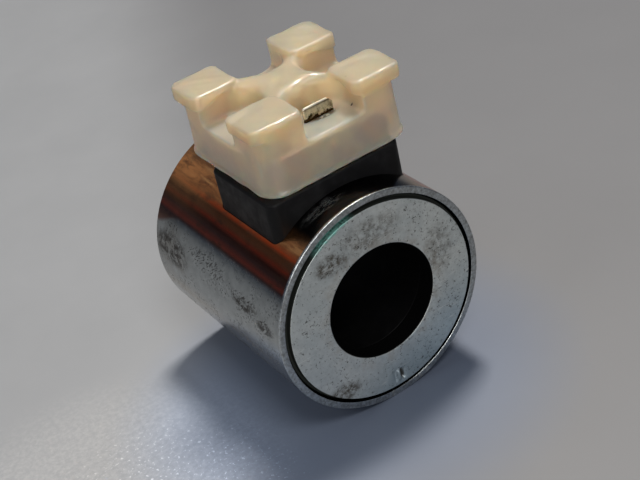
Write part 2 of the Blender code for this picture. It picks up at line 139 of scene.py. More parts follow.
class Finish:
    """A node material. Vectors are in millimetres, in the object's own space, which is the part's frame."""

    def __init__(self, name, **fixed):
        self.material = bpy.data.materials.new(name)
        self.material.use_nodes = True
        self.tree = self.material.node_tree
        self.shader = self.tree.nodes["Principled BSDF"]
        for key, value in fixed.items():
            self.shader.inputs[key.replace("_", " ")].default_value = value
        metres = self.tree.nodes.new("ShaderNodeTexCoord").outputs["Object"]
        self.place = self.stretch((1 / MM, 1 / MM, 1 / MM), metres)
        self.heights = None

    def feed(self, socket, value):
        if isinstance(value, bpy.types.NodeSocket):
            self.tree.links.new(value, socket)
        elif isinstance(value, tuple) and len(value) == 3 and socket.type == "RGBA":
            socket.default_value = (*value, 1)
        else:
            socket.default_value = value

    def node(self, kind, inputs=None, **settings):
        made = self.tree.nodes.new(kind)
        for key, value in settings.items():
            setattr(made, key, value)
        for key, value in (inputs or {}).items():
            self.feed(made.inputs[key], value)
        return made

    def math(self, operation, *values):
        return self.node("ShaderNodeMath", dict(enumerate(values)), operation=operation).outputs[0]

    def chain(self, operation, values):
        """Takes in one value after another, from left to right."""
        result = values[0]
        for value in values[1:]:
            result = self.math(operation, result, value)
        return result

    def plus(self, *values):
        return self.chain("ADD", values)

    def times(self, *values):
        return self.chain("MULTIPLY", values)

    def most(self, *values):
        return self.chain("MAXIMUM", values)

    def less(self, first, second):
        return self.math("SUBTRACT", first, second)

    def magnitude(self, value):
        return self.math("ABSOLUTE", value)

    def axes(self):
        """x, y and the height above the bore axis."""
        x, y, z = self.node("ShaderNodeSeparateXYZ", {0: self.place}).outputs[:3]
        return x, y, self.less(z, AXIS)

    def join(self, x, y, z):
        return self.node("ShaderNodeCombineXYZ", {0: x, 1: y, 2: z}).outputs[0]

    def stretch(self, factors, vector=None):
        inputs = {0: vector or self.place, 1: factors}
        return self.node("ShaderNodeVectorMath", inputs, operation="MULTIPLY").outputs[0]

    def noise(self, size, detail=3.0, roughness=0.5, vector=None, distortion=0.0):
        """Soft noise from 0 to 1, with features about size mm across."""
        inputs = {
            "Vector": vector or self.place,
            "Scale": 1 / size,
            "Detail": detail,
            "Roughness": roughness,
            "Distortion": distortion,
        }
        return self.node("ShaderNodeTexNoise", inputs).outputs["Fac"]

    def span(self, value, low, high, start=0.0, end=1.0):
        """A smooth step from start, where value is low, to end, where it is high."""
        inputs = {"Value": value, "From Min": low, "From Max": high, "To Min": start, "To Max": end}
        return self.node("ShaderNodeMapRange", inputs, interpolation_type="SMOOTHSTEP").outputs[0]

    def rise(self, value, low, high):
        """A straight rise from 0 to 1 between low and high."""
        inputs = {"Value": value, "From Min": low, "From Max": high}
        return self.node("ShaderNodeMapRange", inputs).outputs[0]

    def patch(self, first, second, middle, reach):
        """A soft oval, 1 in its middle and 0 from its edge on, over two coordinates."""
        a = self.math("DIVIDE", self.less(first, middle[0]), reach[0])
        b = self.math("DIVIDE", self.less(second, middle[1]), reach[1])
        return self.span(self.plus(self.times(a, a), self.times(b, b)), 1.0, 0.15)

    def mix(self, amount, first, second, blend="MIX"):
        made = self.node("ShaderNodeMix", data_type="RGBA", blend_type=blend)
        self.feed(made.inputs[0], amount)
        self.feed(made.inputs[6], first)
        self.feed(made.inputs[7], second)
        return made.outputs[2]

    def ramp(self, value, *stops):
        made = self.node("ShaderNodeValToRGB", {0: value})
        elements = made.color_ramp.elements
        while len(elements) < len(stops):
            elements.new(0.5)
        for element, (position, colour) in zip(elements, stops):
            element.position = position
            element.color = (*colour, 1)
        return made.outputs[0]

    def around(self):
        """Angle round the bore axis, 0 at the top and positive towards +X, in degrees; and the radius."""
        x, _, height = self.axes()
        angle = self.times(self.math("ARCTAN2", x, height), 180 / math.pi)
        square = self.plus(self.times(x, x), self.times(height, height))
        return angle, self.math("SQRT", square)

    def raise_by(self, height, depth):
        """Adds height, times depth in mm, to the bump."""
        scaled = self.times(height, depth)
        self.heights = scaled if self.heights is None else self.plus(self.heights, scaled)

    def done(self, **linked):
        for key, value in linked.items():
            self.feed(self.shader.inputs[key.replace("_", " ")], value)
        if self.heights is not None:
            bump = self.node("ShaderNodeBump", {"Height": self.heights, "Strength": 1.0, "Distance": MM})
            self.tree.links.new(bump.outputs[0], self.shader.inputs["Normal"])
        return self.material


# The brown film's colours, with reflection bands painted in, from its middle at the top of the can (0) to
# its lower edge (1).
FILM_AND_REFLECTION_COLOURS = (
    (0.00, (0.34, 0.22, 0.13)),
    (0.25, (0.58, 0.27, 0.11)),
    (0.42, (0.40, 0.16, 0.06)),
    (0.485, (0.55, 0.08, 0.02)),
    (0.53, (0.14, 0.05, 0.02)),
    (0.59, (0.34, 0.12, 0.05)),
    (0.645, (0.62, 0.08, 0.03)),
    (0.69, (0.13, 0.035, 0.02)),
    (0.75, (0.20, 0.08, 0.06)),
    (0.82, (0.58, 0.11, 0.06)),
    (0.87, (0.15, 0.07, 0.055)),
)


def tinted_film_and_reflection(f, angle, arc, y, place, drawn):
    """Brown film on the upper half, with reflections of the cap painted into it as bands along the can;
    place is the wavering angle from the top, drawn is stretched along y.
    """
    # The bands of colour along the can are partly the film and partly painted reflection.
    film_and_reflection = f.ramp(f.rise(place, 20, 64), *FILM_AND_REFLECTION_COLOURS)
    worn = f.span(f.noise(0.5, 4, 0.7, drawn), 0.35, 0.75)
    film_and_reflection = f.mix(f.times(worn, 0.15), film_and_reflection, (0.40, 0.22, 0.12))
    pale = f.times(f.span(y, 3, 19), f.span(place, 58, 40), f.span(f.noise(1.5, 4, 0.6, drawn), 0.15, 0.6))
    film_and_reflection = f.mix(f.times(pale, 0.75), film_and_reflection, (0.95, 0.42, 0.15))
    sooty = f.span(f.noise(2.6, 6, 0.7, f.join(arc, f.times(y, 0.5), 7.0)), 0.52, 0.66)
    film_and_reflection = f.mix(f.times(sooty, 0.6), film_and_reflection, (0.16, 0.09, 0.05))
    blotched = f.join(arc, f.times(y, 0.22), 4.0)
    streaky = f.times(f.span(f.noise(1.6, 5, 0.65, blotched, 0.8), 0.42, 0.64), f.span(place, 43, 36))
    film_and_reflection = f.mix(f.times(streaky, 0.65), film_and_reflection, (0.20, 0.075, 0.035))
    # A painted warm highlight on the film, high on the sides.
    painted_highlight = f.span(f.noise(1.2, 5, 0.6, f.stretch((1.0, 0.6, 1.0), blotched)), 0.50, 0.68)
    film_and_reflection = f.mix(f.times(painted_highlight, f.span(place, 44, 34), 0.55), film_and_reflection, (0.95, 0.52, 0.22))
    right = f.patch(angle, y, (27, -14), (17, 16))
    return f.mix(f.times(right, 0.8), film_and_reflection, (0.15, 0.145, 0.105))


def can_stains(f, arc, y, down):
    """Dark stains, slanted rubbing marks and fine specks; down is the angle from the top, either way."""
    stain = f.most(
        f.patch(down, y, (77, 17), (11, 8)),
        f.patch(down, y, (76, -11.5), (4, 5)),
        f.patch(down, y, (80, -18.5), (4, 3.5)),
    )
    coarse = f.noise(1.9, 8, 0.78, f.join(arc, y, 0.0), 0.5)
    stain = f.times(stain, f.span(coarse, 0.43, 0.56))
    slanted = f.join(f.plus(arc, f.times(y, 0.7)), f.times(f.less(y, arc), 0.22), 0.0)
    marks = f.span(f.noise(0.45, 4, 0.6, slanted), 0.53, 0.60)
    marked = f.most(
        f.patch(down, y, (75, -11), (6, 6)),
        f.patch(down, y, (80, -18), (6, 4.5)),
        f.times(f.patch(down, y, (70, 3), (7, 9)), 0.8),
    )
    specks = f.span(f.noise(0.55, 5, 0.72, f.join(arc, y, 3.0)), 0.53, 0.62)
    specks = f.times(specks, f.span(f.noise(5, 3, 0.5, f.join(arc, y, 9.0)), 0.42, 0.60), 0.75)
    return f.most(stain, f.times(marks, marked), specks)


def shell_finish():
    f = Finish("bright_zinc", Metallic=1.0)
    _, y, _ = f.axes()
    angle, radius = f.around()
    down = f.magnitude(angle)
    arc = f.times(angle, 0.39)  # mm round the can
    drawn = f.join(arc, f.times(y, 0.05), 0.0)
    wobble = f.times(f.less(f.noise(2.6, 3, 0.5, drawn), 0.5), 3.0)
    # Brown film with painted reflection bands on the upper half.
    film_and_reflection = tinted_film_and_reflection(f, angle, arc, y, f.plus(down, wobble), drawn)
    cloud = f.noise(2.2, 5, 0.65)
    zinc = f.ramp(cloud, (0.3, (0.25, 0.268, 0.272)), (0.7, (0.37, 0.392, 0.396)))
    dull = f.times(f.span(y, 6, 18), f.span(f.noise(5, 4, 0.6), 0.3, 0.7), f.span(down, 104, 84))
    zinc = f.mix(f.times(dull, 0.8), zinc, (0.20, 0.19, 0.17))
    # The zinc is bare below the film, which hangs lower at the back, and on the front rim.
    edge = f.less(down, f.span(y, 15, 24, 0, 7))
    bare = f.span(f.plus(edge, f.times(wobble, 0.3)), 57.6, 60.6)
    bare = f.most(bare, f.span(y, -22.9, -23.2))
    base = f.mix(bare, film_and_reflection, zinc)
    # The strip between the front rim and the connector block is painted dark, as painted reflection of the
    # block and painted shade, with light scuffs on it.
    shaded_strip = f.times(f.span(down, 34, 27), f.span(y, -16.0, -17.2), f.span(y, -23.3, -22.8))
    scuffs = f.span(f.noise(0.9, 5, 0.7, f.join(f.times(arc, 0.3), y, 0.0)), 0.43, 0.58)
    scuffs = f.times(scuffs, f.patch(angle, y, (-14, -18.9), (15, 1.9)))
    base = f.mix(shaded_strip, base, f.mix(scuffs, (0.022, 0.021, 0.022), (0.60, 0.63, 0.63)))
    stain = f.times(can_stains(f, arc, y, down), bare)
    base = f.mix(f.times(stain, 0.93), base, (0.045, 0.038, 0.032))
    lines = f.span(f.noise(0.3, 3, 0.6, f.join(arc, f.times(y, 0.12), 5.0)), 0.62, 0.72)
    base = f.mix(f.times(lines, bare, 0.25), base, (0.62, 0.64, 0.64))
    # Painted shade: darker and browner towards the underside, for the shadowed floor it mirrors.
    painted_underside_shade = f.times(f.span(down, 90, 99), f.span(f.noise(2.2, 5, 0.7, drawn), 0.35, 0.6))
    base = f.mix(f.times(painted_underside_shade, 0.55), base, (0.27, 0.22, 0.16))
    lip = f.times(f.span(y, -23.15, -23.35), f.span(radius, 21.1, 21.2))
    worn = f.ramp(f.noise(0.6, 5, 0.75), (0.38, (0.27, 0.28, 0.28)), (0.60, (0.52, 0.56, 0.58)))
    base = f.mix(lip, base, worn)
    # Painted shade: the can's inner wall inside the rim is painted near black.
    base = f.mix(f.span(radius, 21.22, 21.12), base, (0.015, 0.022, 0.024))
    f.raise_by(f.noise(1.6, 3, 0.5), 0.004)
    f.raise_by(stain, -0.01)
    roughness = f.plus(f.times(cloud, 0.16), 0.12, f.times(stain, 0.3), f.times(lip, 0.10))
    return f.done(Base_Color=base, Roughness=roughness)


def plate_finish():
    f = Finish("dull_zinc")
    x, y, height = f.axes()
    angle, radius = f.around()
    cloud = f.noise(1.2, 6, 0.75)
    base = f.ramp(cloud, (0.3, (0.47, 0.50, 0.495)), (0.7, (0.63, 0.665, 0.655)))
    broad = f.span(f.noise(7, 3, 0.5), 0.35, 0.65)
    base = f.mix(f.times(broad, 0.35), base, (0.34, 0.40, 0.43))
    # Painted reflection: the face is bluer and darker low down, where it mirrors the shadow on the floor.
    painted_shadow_reflection = f.times(f.span(f.less(height, f.times(x, 0.45)), -6, -22), 0.8)
    base = f.mix(painted_shadow_reflection, base, f.mix(1.0, base, (0.62, 0.74, 0.84), "MULTIPLY"))
    smear = f.most(
        f.patch(x, height, (-8.6, 13.2), (4.8, 2.8)),
        f.times(f.patch(x, height, (14.0, 4.4), (3.8, 6.4)), 0.6),
        f.patch(x, height, (-12.2, -14.8), (4.6, 2.6)),
        f.times(f.patch(x, height, (0.0, 15.2), (8.5, 3.8)), 0.65),
    )
    smear = f.times(smear, f.span(f.noise(1.5, 8, 0.82), 0.38, 0.60))
    base = f.mix(f.times(smear, 0.95), base, (0.085, 0.07, 0.05))
    halo = f.times(f.span(radius, 15.5, 12.2), f.span(f.noise(3, 6, 0.7), 0.42, 0.7))
    base = f.mix(f.times(halo, 0.5), base, (0.34, 0.30, 0.25))
    specks = f.times(f.span(f.noise(0.5, 4, 0.75), 0.57, 0.64), f.span(f.noise(4, 5, 0.7), 0.40, 0.56))
    base = f.mix(f.times(specks, 0.85), base, (0.05, 0.045, 0.04))
    scratch = f.span(f.noise(0.5, 3, 0.6, f.stretch((0.12, 1, 1))), 0.64, 0.70)
    base = f.mix(f.times(scratch, 0.4), base, (0.72, 0.74, 0.72))
    # Painted shade in the hollow beside the struck nib.
    pit = f.times(f.patch(x, height, (0.85, -18.2), (0.55, 1.5)), 0.9, f.span(y, 1, -1))
    base = f.mix(pit, base, (0.05, 0.045, 0.04))
    # Painted shade: the bore's wall and the groove are painted dark.
    wall = f.span(radius, 11.78, 11.66)
    groove = f.span(radius, 20.2, 20.28)
    dark = f.most(wall, groove)
    base = f.mix(dark, base, f.mix(groove, (0.006, 0.006, 0.006), (0.045, 0.05, 0.045)))
    # A painted cyan glint round the groove, in one part of it.
    painted_glint = f.patch(angle, radius, (-21, 20.35), (17, 0.75))
    painted_glint = f.times(painted_glint, f.span(f.noise(0.7, 5, 0.7), 0.38, 0.56, 0.25, 1.0))
    base = f.mix(painted_glint, base, (0.24, 0.50, 0.45))
    f.raise_by(f.noise(0.8, 4, 0.6), 0.012)
    f.raise_by(smear, -0.01)
    roughness = f.plus(f.times(cloud, 0.2), 0.34, f.times(dark, 0.3))
    metal = f.plus(0.8, f.times(dark, 0.2))
    return f.done(Base_Color=base, Roughness=roughness, Metallic=metal)


def black_finish(name="black_moulding", tone=1.0, shine=0.12):
    f = Finish(name, Specular_IOR_Level=shine)
    dust = f.span(f.noise(3, 5, 0.7), 0.45, 0.8)
    dark = tuple(tone * c for c in (0.005, 0.005, 0.0055))
    dusty = tuple(tone * c for c in (0.016, 0.016, 0.017))
    base = f.mix(f.times(dust, 0.5), dark, dusty)
    f.raise_by(f.noise(0.25, 2, 0.5), 0.004)
    roughness = f.span(f.noise(2.5, 4, 0.6), 0.3, 0.7, 0.42, 0.58)
    return f.done(Base_Color=base, Roughness=roughness)


def cap_finish():
    f = Finish(
        "translucent_cap",
        Subsurface_Weight=1.0,
        Subsurface_Radius=(10.0, 6.5, 4.0),
        Subsurface_Scale=MM,
        Transmission_Weight=0.7,
        IOR=1.4,
        Coat_Weight=0.3,
        Coat_Roughness=0.16,
    )
    x, y, height = f.axes()
    base = f.ramp(f.noise(6, 3, 0.5), (0.3, (0.99, 0.77, 0.545)), (0.7, (1.0, 0.81, 0.605)))
    # Painted shade: the wall is painted greyer where the dark connector stands close behind it and darkens
    # the light coming through.
    painted_see_through_shade = f.times(f.span(height, 34.0, 31.5), f.span(f.noise(5, 3, 0.5), 0.38, 0.60))
    painted_see_through_shade = f.times(painted_see_through_shade, f.span(height, 26.6, 27.6), 0.6)
    front = f.span(y, -13.5, -14.5)
    zones = f.most(f.patch(x, height, (-8.8, 30.6), (6.2, 5.2)), f.patch(x, height, (9.4, 29.8), (5.6, 3.6)))
    painted_see_through_shade = f.most(painted_see_through_shade, f.times(zones, front))
    base = f.mix(f.times(painted_see_through_shade, 0.7), base, (0.78, 0.61, 0.51))
    # The overhanging pads are amber at their outer ends, and every edge gets a painted pale highlight.
    far = f.most(f.magnitude(f.less(x, 1.9)), f.magnitude(f.plus(y, 1.2)))
    amber = f.times(f.span(far, 14.9, 16.2), f.span(height, 36.0, 37.5))
    base = f.mix(f.times(amber, 0.55), base, (0.80, 0.52, 0.22))
    point = f.tree.nodes.new("ShaderNodeNewGeometry").outputs["Pointiness"]
    base = f.mix(f.times(f.span(point, 0.512, 0.540), 0.6), base, (1.0, 0.89, 0.72))
    # A painted light line down the front left corner.
    painted_corner_highlight = f.times(f.patch(x, height, (-13.4, 31.6), (0.75, 3.4)), front)
    base = f.mix(f.times(painted_corner_highlight, 0.8), base, (1.0, 0.92, 0.76))
    # Painted shade in the front notch, two dark spots, pad tops painted a little darker and a painted
    # highlight on the bead round the foot.
    # Painted shade on the notch floor round the slit under the earth blade.
    dirt_and_shade = f.times(f.patch(x, y, (3.5, -11.0), (3.4, 1.3)), f.span(height, 34.9, 34.3))
    dirt_and_shade = f.times(dirt_and_shade, f.span(f.noise(0.8, 4, 0.6), 0.35, 0.5))
    base = f.mix(dirt_and_shade, base, (0.10, 0.06, 0.03))
    spots = f.most(f.patch(x, y, (8.5, -12.7), (0.3, 0.3)), f.patch(x, y, (8.0, -3.3), (0.32, 0.32)))
    base = f.mix(f.times(spots, f.span(height, 33.0, 33.6)), base, (0.04, 0.02, 0.01))
    # Painted shade: the pad tops are a little darker, to tone down the light on them.
    base = f.mix(f.times(f.span(height, 36.8, 38.8), 0.8), base, (0.93, 0.72, 0.52))
    # A painted highlight along the bead round the foot.
    base = f.mix(f.times(f.span(height, 26.6, 26.1), 0.8), base, (1.0, 0.88, 0.66))
    f.raise_by(f.noise(1.3, 3, 0.5), 0.03)
    roughness = f.span(f.noise(1.5, 4, 0.6), 0.3, 0.7, 0.32, 0.46)
    return f.done(Base_Color=base, Roughness=roughness)


def metal_finish(name, colour, dirt_and_shade, roughness=0.3, dirt_amount=0.7):
    f = Finish(name, Metallic=1.0)
    cover = f.times(f.span(f.noise(1.6, 5, 0.7), 0.4, 0.65), dirt_amount)
    base = f.mix(cover, colour, dirt_and_shade)
    f.raise_by(f.noise(0.5, 4, 0.6), 0.01)
    return f.done(Base_Color=base, Roughness=f.plus(f.times(cover, 0.4), roughness))


def earth_finish():
    """The earth blade: stained face, with a painted highlight along its top edge, a painted dark line under
    it and a painted ragged shadow low down, where it comes through the cap.
    """
    f = Finish("stained_tin", Metallic=1.0)
    _, _, height = f.axes()
    cloud = f.noise(0.9, 5, 0.7)
    base = f.ramp(cloud, (0.38, (0.24, 0.19, 0.11)), (0.55, (0.74, 0.66, 0.45)))
    # Painted ragged shadow low on the blade, where it comes through the cap.
    ragged = f.plus(height, f.times(f.noise(1.1, 3, 0.6), -4.0))
    base = f.mix(f.span(ragged, 32.5, 32.1), base, (0.05, 0.03, 0.012))
    # A painted dark line under the top edge, then a painted highlight along the top edge.
    base = f.mix(f.times(f.span(height, 35.75, 36.0), 0.6), base, (0.10, 0.08, 0.05))
    base = f.mix(f.span(height, 36.08, 36.2), base, (1.0, 0.96, 0.84))
    f.raise_by(cloud, 0.02)
    return f.done(Base_Color=base, Roughness=f.span(cloud, 0.3, 0.7, 0.3, 0.5))


def plain_finish(name, colour, second, roughness=0.4, size=1.0):
    f = Finish(name)
    base = f.mix(f.span(f.noise(size, 4, 0.6), 0.35, 0.65), colour, second)
    f.raise_by(f.noise(size / 2, 3, 0.6), 0.01)
    rough = f.span(f.noise(size, 3, 0.5), 0.3, 0.7, roughness - 0.06, roughness + 0.06)
    return f.done(Base_Color=base, Roughness=rough)


def wire_finish():
    f = Finish("enamelled_wire", Metallic=1.0, Coat_Weight=0.6, Coat_Roughness=0.15)
    wire = 0.5
    _, y, _ = f.axes()
    turns = f.magnitude(f.math("SINE", f.times(y, math.pi / wire)))
    # Painted shade between the turns and a painted highlight on their crowns.
    base = f.ramp(turns, (0.0, (0.12, 0.03, 0.012)), (0.5, (0.62, 0.22, 0.09)), (1.0, (0.75, 0.33, 0.16)))
    f.raise_by(turns, 0.12)
    rough = f.span(f.noise(2, 3, 0.5), 0.3, 0.7, 0.22, 0.34)
    return f.done(Base_Color=base, Roughness=rough)


# --- Shapes ------------------------------------------------------------------------------------


def fillet(points, radii, steps=5):
    """A closed polygon with each corner rounded by its radius, given in the same order."""
    count = len(points)
    out = []
    for i, radius in enumerate(radii):
        here = np.array(points[i], float)
        before = np.array(points[i - 1], float) - here
        after = np.array(points[(i + 1) % count], float) - here
        length_before, length_after = np.linalg.norm(before), np.linalg.norm(after)
        before /= length_before
        after /= length_after
        half = math.acos(max(-1, min(1, float(before @ after)))) / 2
        if radius <= 0 or half > math.radians(88):
            out.append(tuple(here))
            continue
        reach = min(radius / math.tan(half), 0.49 * length_before, 0.49 * length_after)
        radius = reach * math.tan(half)
        centre = here + (before + after) / np.linalg.norm(before + after) * radius / math.sin(half)
        first = here + before * reach - centre
        last = here + after * reach - centre
        start = math.atan2(first[1], first[0])
        turn = (math.atan2(last[1], last[0]) - start + math.pi) % (2 * math.pi) - math.pi
        for step in range(steps + 1):
            angle = start + turn * step / steps
            out.append((centre[0] + radius * math.cos(angle), centre[1] + radius * math.sin(angle)))
    return out


def divide(points, longest):
    """A closed polygon with its long edges divided."""
    out = []
    for i, point in enumerate(points):
        following = points[(i + 1) % len(points)]
        parts = max(1, math.ceil(math.dist(point, following) / longest))
        for part in range(parts):
            t = part / parts
            out.append((point[0] + (following[0] - point[0]) * t, point[1] + (following[1] - point[1]) * t))
    return out


def piece(name, points, faces, body, finish, slot, node, sharp=30):
    """A mesh piece from points in mm, in the part's frame, that stands in for a CAD node."""
    mesh = bpy.data.meshes.new(name)
    mesh.from_pydata([tuple(c * MM for c in point) for point in points], [], faces)
    mesh.validate()
    mesh.update()
    obj = bpy.data.objects.new(name, mesh)
    bpy.context.scene.collection.objects.link(obj)
    dress(obj, body, finish, node, sharp)
    return obj


def dress(obj, body, finish, node, sharp=30):
    """Gives a piece its material and its shading, smooth up to the sharp angle, and ties it to the part."""
    obj.data.materials.clear()
    obj.data.materials.append(finish)
    obj.data.shade_smooth()
    if sharp:
        obj.data.set_sharp_from_angle(angle=math.radians(sharp))
    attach(obj, body)
    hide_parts(node)


def about_bore(radius, y, angle):
    return (radius * math.sin(angle), y, AXIS - radius * math.cos(angle))


def about_screw(radius, height, angle):
    return (CONNECTOR[0] + radius * math.cos(angle), CONNECTOR[1] - radius * math.sin(angle), AXIS + height)


def lathe_data(profile, sides, place=about_bore):
    """Points and quads of a ring turned from a closed profile of (radius, distance along the axis)."""
    points = []
    for side in range(sides):
        angle = side * 2 * math.pi / sides
        points += [place(radius, along, angle) for radius, along in profile]
    count = len(profile)
    faces = []
    for side in range(sides):
        beside = (side + 1) % sides
        for i in range(count):
            j = (i + 1) % count
            faces.append((side * count + i, side * count + j, beside * count + j, beside * count + i))
    return points, faces


def stack_data(rings):
    """Points and faces of a closed body through rings of equal point counts."""
    count = len(rings[0])
    points = [point for ring in rings for point in ring]
    faces = [tuple(range(count - 1, -1, -1))]
    for level in range(len(rings) - 1):
        for i in range(count):
            j = (i + 1) % count
            low = level * count
            faces.append((low + i, low + j, low + count + j, low + count + i))
    last = (len(rings) - 1) * count
    faces.append(tuple(last + i for i in range(count)))
    return points, faces


def outline(centre, half, corner, steps=8):
    """A rectangle with round corners, from its middle and half sizes."""
    points = []
    for quarter, (sx, sy) in enumerate(((1, 1), (-1, 1), (-1, -1), (1, -1))):
        for step in range(steps + 1):
            angle = math.radians(90 * (quarter + step / steps))
            x = centre[0] + sx * (half[0] - corner) + corner * math.cos(angle)
            y = centre[1] + sy * (half[1] - corner) + corner * math.sin(angle)
            points.append((x, y))
    return points


def raised(ring, *heights):
    """The same flat ring at each height."""
    return [[(x, y, AXIS + height) for x, y in ring] for height in heights]


def boolean(obj, tool, operation="DIFFERENCE"):
    """Applies the tool to the object and removes the tool."""
    modifier = obj.modifiers.new(tool.name, "BOOLEAN")
    modifier.operation = operation
    modifier.object = tool
    modifier.solver = "EXACT"
    graph = bpy.context.evaluated_depsgraph_get()
    mesh = bpy.data.meshes.new_from_object(obj.evaluated_get(graph))
    obj.modifiers.clear()
    old = obj.data
    obj.data = mesh
    bpy.data.meshes.remove(old)
    bpy.data.objects.remove(tool)


def face_outward(mesh):
    data = bmesh.new()
    data.from_mesh(mesh)
    bmesh.ops.recalc_face_normals(data, faces=data.faces)
    data.to_mesh(mesh)
    data.free()


def loose(name, points, faces):
    """A mesh object to cut or to cut with, from points in mm."""
    mesh = bpy.data.meshes.new(name)
    mesh.from_pydata([tuple(c * MM for c in point) for point in points], [], faces)
    obj = bpy.data.objects.new(name, mesh)
    bpy.context.scene.collection.objects.link(obj)
    face_outward(mesh)
    return obj


def radial_normals(obj, radius, slack=0.02):
    """Exact normals on the round outside, so that it mirrors cleanly next to cut edges."""
    mesh = obj.data
    normals = [tuple(n.vector) for n in mesh.corner_normals]
    for polygon in mesh.polygons:
        centre = polygon.center
        reach = math.hypot(centre.x, centre.z - AXIS * MM) / MM
        outward = Vector((centre.x, 0, centre.z - AXIS * MM)).normalized()
        if abs(reach - radius) > slack or polygon.normal.dot(outward) < 0.9:
            continue
        for loop in polygon.loop_indices:
            place = mesh.vertices[mesh.loops[loop].vertex_index].co
            normal = Vector((place.x, 0, place.z - AXIS * MM)).normalized()
            normals[loop] = tuple(normal)
    mesh.normals_split_custom_set(normals)


def make_shell(finish):
    """The can: a turned tube with a window for the connector block, a little wider than the block."""
    end = HALF_LENGTH
    corners = [(CAN_BORE, -end), (CAN_RADIUS, -end), (CAN_RADIUS, end), (CAN_BORE, end)]
    profile = divide(fillet(corners, [0.25, 0.22, 0.3, 0.25]), 1.0)
    obj = loose("can", *lathe_data(profile, 288))
    gap = 0.12
    half = (BLOCK_HALF[0] + gap, BLOCK_HALF[1] + gap)
    window = raised(outline(BLOCK_MIDDLE, half, BLOCK_CORNER + gap), 10, 26)
    boolean(obj, loose("window", *stack_data(window)))
    dress(obj, COIL, finish, "steel_shell")
    radial_normals(obj, CAN_RADIUS)


def make_plate(name, node, side, finish):
    """A pole ring with a groove round its face; side is -1 for the front and 1 for the back."""
    groove = PLATE_FACE - GROOVE_DEPTH
    back = PLATE_FACE - PLATE_THICK
    corners = [
        (PLATE_BORE, side * PLATE_FACE),
        (PLATE_EDGE, side * PLATE_FACE),
        (PLATE_EDGE, side * groove),
        (PLATE_REACH, side * groove),
        (PLATE_REACH, side * back),
        (PLATE_BORE, side * back),
    ]
    profile = divide(fillet(corners, [0.3, 0.18, 0, 0, 0, 0.1]), 0.28)
    if side > 0:
        profile.reverse()
    points, faces = lathe_data(profile, 640)
    if side < 0:
        points = [nib(point) for point in points]
    piece(name, points, faces, COIL, finish, "zinc_plate", node)


def nib(point):
    """Pushes the face in on both sides of the struck nib at six o'clock, and leaves a ridge between."""
    x, y, z = point
    height = z - AXIS
    if y > -PLATE_FACE + 0.05 or height > -15:
        return point
    along = max(0.0, 1 - (abs(height + 18.0) / 1.4) ** 4)
    hollow = math.exp(-(((abs(x) - 0.85) / 0.4) ** 2))
    ridge = math.exp(-((x / 0.32) ** 2))
    depth = 0.6 if x > 0 else 0.25
    return (x, y + (depth * hollow - 0.35 * ridge) * along, z)


def make_bobbin(finish):
    """The black tube that lines the bore, with a flange at each end."""
    inside, outside, flange, thick = 11.75, 13.0, 19.4, 1.5
    end = -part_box("bobbin")[0].y / MM
    corners = [
        (inside, -end),
        (flange, -end),
        (flange, -end + thick),
        (outside, -end + thick),
        (outside, end - thick),
        (flange, end - thick),
        (flange, end),
        (inside, end),
    ]
    profile = divide(fillet(corners, [0.2, 0.3, 0.3, 0.2, 0.2, 0.3, 0.3, 0.2]), 3)
    piece("bobbin_tube", *lathe_data(profile, 160), COIL, finish, "black_plastic", "bobbin")


def make_pedestal(finish):
    """The connector block: round top edge, hollow top and a saddle that clears the winding."""
    foot, shoulder, top, rounding = 13.5, 20, 25.45, 0.5
    rings = raised(outline(BLOCK_MIDDLE, BLOCK_HALF, BLOCK_CORNER, 10), foot, shoulder)
    for step in range(7):
        angle = math.radians(15 * step)
        inset = rounding * (1 - math.cos(angle))
        half = (BLOCK_HALF[0] - inset, BLOCK_HALF[1] - inset)
        height = top - rounding + rounding * math.sin(angle)
        rings += raised(outline(BLOCK_MIDDLE, half, BLOCK_CORNER - inset, 10), height)
    obj = loose("connector_block", *stack_data(rings))
    saddle = [(2, -30), (19, -30), (19, 30), (2, 30)]
    boolean(obj, loose("saddle", *lathe_data(saddle, 160)))
    wall = 2.2
    inner = outline(BLOCK_MIDDLE, (BLOCK_HALF[0] - wall, BLOCK_HALF[1] - wall), 1.0)
    boolean(obj, loose("cavity", *stack_data(raised(inner, 21.5, 30))))
    dress(obj, COIL, finish, "connector_pedestal")


# --- The connector under the cap -----------------------------------------------------------------


def square_stack(levels, corner=3.2):
    """Rings of rounded squares round the connector's middle; each level is (half width, height)."""
    rings = []
    for half, height in levels:
        rings += raised(outline(CONNECTOR, (half, half), corner - (levels[0][0] - half)), height)
    return rings


def round_stack(levels, sides=64):
    """Rings of circles round the connector's middle; each level is (radius, height)."""
    turn = [2 * math.pi * i / sides for i in range(sides)]
    rings = []
    for radius, height in levels:
        ring = [(CONNECTOR[0] + radius * math.cos(a), CONNECTOR[1] + radius * math.sin(a)) for a in turn]
        rings += raised(ring, height)
    return rings


def box_tool(name, low, high):
    ring = [(low[0], low[1]), (high[0], low[1]), (high[0], high[1]), (low[0], high[1])]
    return loose(name, *stack_data(raised(ring, low[2], high[2])))


